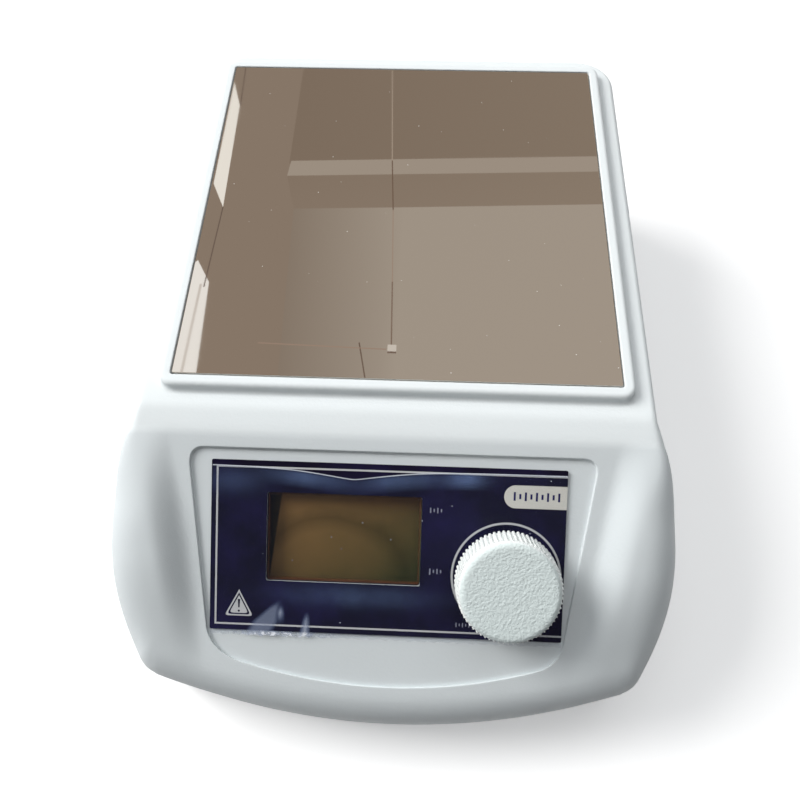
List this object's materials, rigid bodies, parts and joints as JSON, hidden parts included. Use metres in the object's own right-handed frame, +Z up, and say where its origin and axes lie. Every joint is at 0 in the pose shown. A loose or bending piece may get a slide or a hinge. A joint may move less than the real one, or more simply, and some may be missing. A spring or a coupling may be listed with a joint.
{
  "type": "magnetic stirrer",
  "caption": "Bench magnetic stirrer with a square mirror-polished work plate, sloping console with display window, ribbed push-and-turn knob and rubber feet.",
  "frame": {"origin": "on the surface the feet stand on, under the middle of the unit", "axes": "+Z up, -Y towards the console at the front, +X to the right seen from the console"},
  "size_m": [0.152, 0.211, 0.07],
  "materials": {
    "casing_white": "fine spark-eroded texture",
    "base_grey": "fine moulded texture",
    "foot_rubber": "matt moulded rubber",
    "zinc_screw": "bright zinc plating",
    "mirror_plate": "mirror polished stainless steel",
    "foam_tape": "closed-cell foam",
    "sheet_steel": "plated sheet steel",
    "cast_aluminium": "machined",
    "copper_winding": "enamelled copper winding on steel",
    "rotor_steel": "ground steel",
    "nickel_plate": "nickel plated",
    "navy_label": "printed polyester film",
    "clear_film": "clear protective film",
    "smoked_lens": "smoked display window",
    "display_glass": "liquid crystal glass",
    "backlight": "light guide",
    "black_plastic": "moulded black plastic",
    "rocker_black": "gloss moulded",
    "circuit_board": "green solder mask on glass-fibre board",
    "brass_pin": "turned",
    "knob_white": "textured face, ribbed side",
    "socket_white": "natural nylon",
    "grey_wire": "flexible insulation",
    "red_wire": "flexible insulation",
    "black_wire": "flexible insulation"
  },
  "bodies": {
    "casing": {"base_plate": "base_grey", "bearing_lower": "nickel_plate", "bearing_upper": "nickel_plate", "bracket_screw_1": "zinc_screw", "bracket_screw_2": "zinc_screw", "bracket_screw_3": "zinc_screw", "bracket_screw_4": "zinc_screw", "case_screw_front_left": "zinc_screw", "case_screw_front_right": "zinc_screw", "case_screw_rear_left": "zinc_screw", "case_screw_rear_right": "zinc_screw", "display_backlight": "backlight", "display_board": "circuit_board", "display_frame": "black_plastic", "display_glass": "display_glass", "display_lens": "smoked_lens", "display_ribbon": "grey_wire", "display_screw_1": "zinc_screw", "display_screw_2": "zinc_screw", "display_socket": "socket_white", "driver_chip": "black_plastic", "encoder_body": "nickel_plate", "encoder_nut": "nickel_plate", "foot_front_left": "foot_rubber", "foot_front_right": "foot_rubber", "foot_rear_left": "foot_rubber", "foot_rear_right": "foot_rubber", "main_board": "circuit_board", "motor_bracket": "sheet_steel", "motor_can": "sheet_steel", "motor_end_cap": "cast_aluminium", "motor_lead_black": "black_wire", "motor_lead_red": "red_wire", "motor_screw_1": "zinc_screw", "motor_screw_2": "zinc_screw", "motor_socket": "socket_white", "panel_label": "navy_label", "plate_foam_tape": "foam_tape", "power_jack": "black_plastic", "power_lead_black": "black_wire", "power_lead_red": "red_wire", "power_socket": "socket_white", "protective_film": "clear_film", "regulator_heat_sink": "cast_aluminium", "reservoir_capacitor": "black_plastic", "rocker_frame": "black_plastic", "stator": "copper_winding", "upper_housing": "casing_white", "work_plate": "mirror_plate"},
    "rotor": {"rotor_core": "rotor_steel", "motor_spindle": "rotor_steel", "magnet_holder": "cast_aluminium", "holder_set_screw": "zinc_screw", "magnet_left": "nickel_plate", "magnet_right": "nickel_plate"},
    "plunger": {"encoder_plunger": "brass_pin"},
    "knob": {"encoder_shaft": "cast_aluminium", "control_knob": "knob_white"},
    "rocker": {"power_rocker": "rocker_black"}
  },
  "joints": [
    {"name": "rotor_spin", "type": "hinge", "parent": "casing", "child": "rotor", "pos_m": [0, 0.0355, 0.05], "axis": [0, 0, 1], "continuous": true},
    {"name": "knob_push", "type": "slide", "parent": "casing", "child": "plunger", "axis": [0, 0.497, -0.8678], "range_m": [0, 0.0005], "stiffness_N_per_m": 800, "springref_m": -0.002},
    {"name": "knob_turn", "type": "hinge", "parent": "plunger", "child": "knob", "pos_m": [0.0306, -0.07048, 0.04669], "axis": [0, -0.497, 0.8678], "continuous": true},
    {"name": "rocker_tilt", "type": "hinge", "parent": "casing", "child": "rocker", "pos_m": [-0.02, 0.1004, 0.032], "axis": [1, 0, 0], "range_deg": [0, 14]}
  ]
}
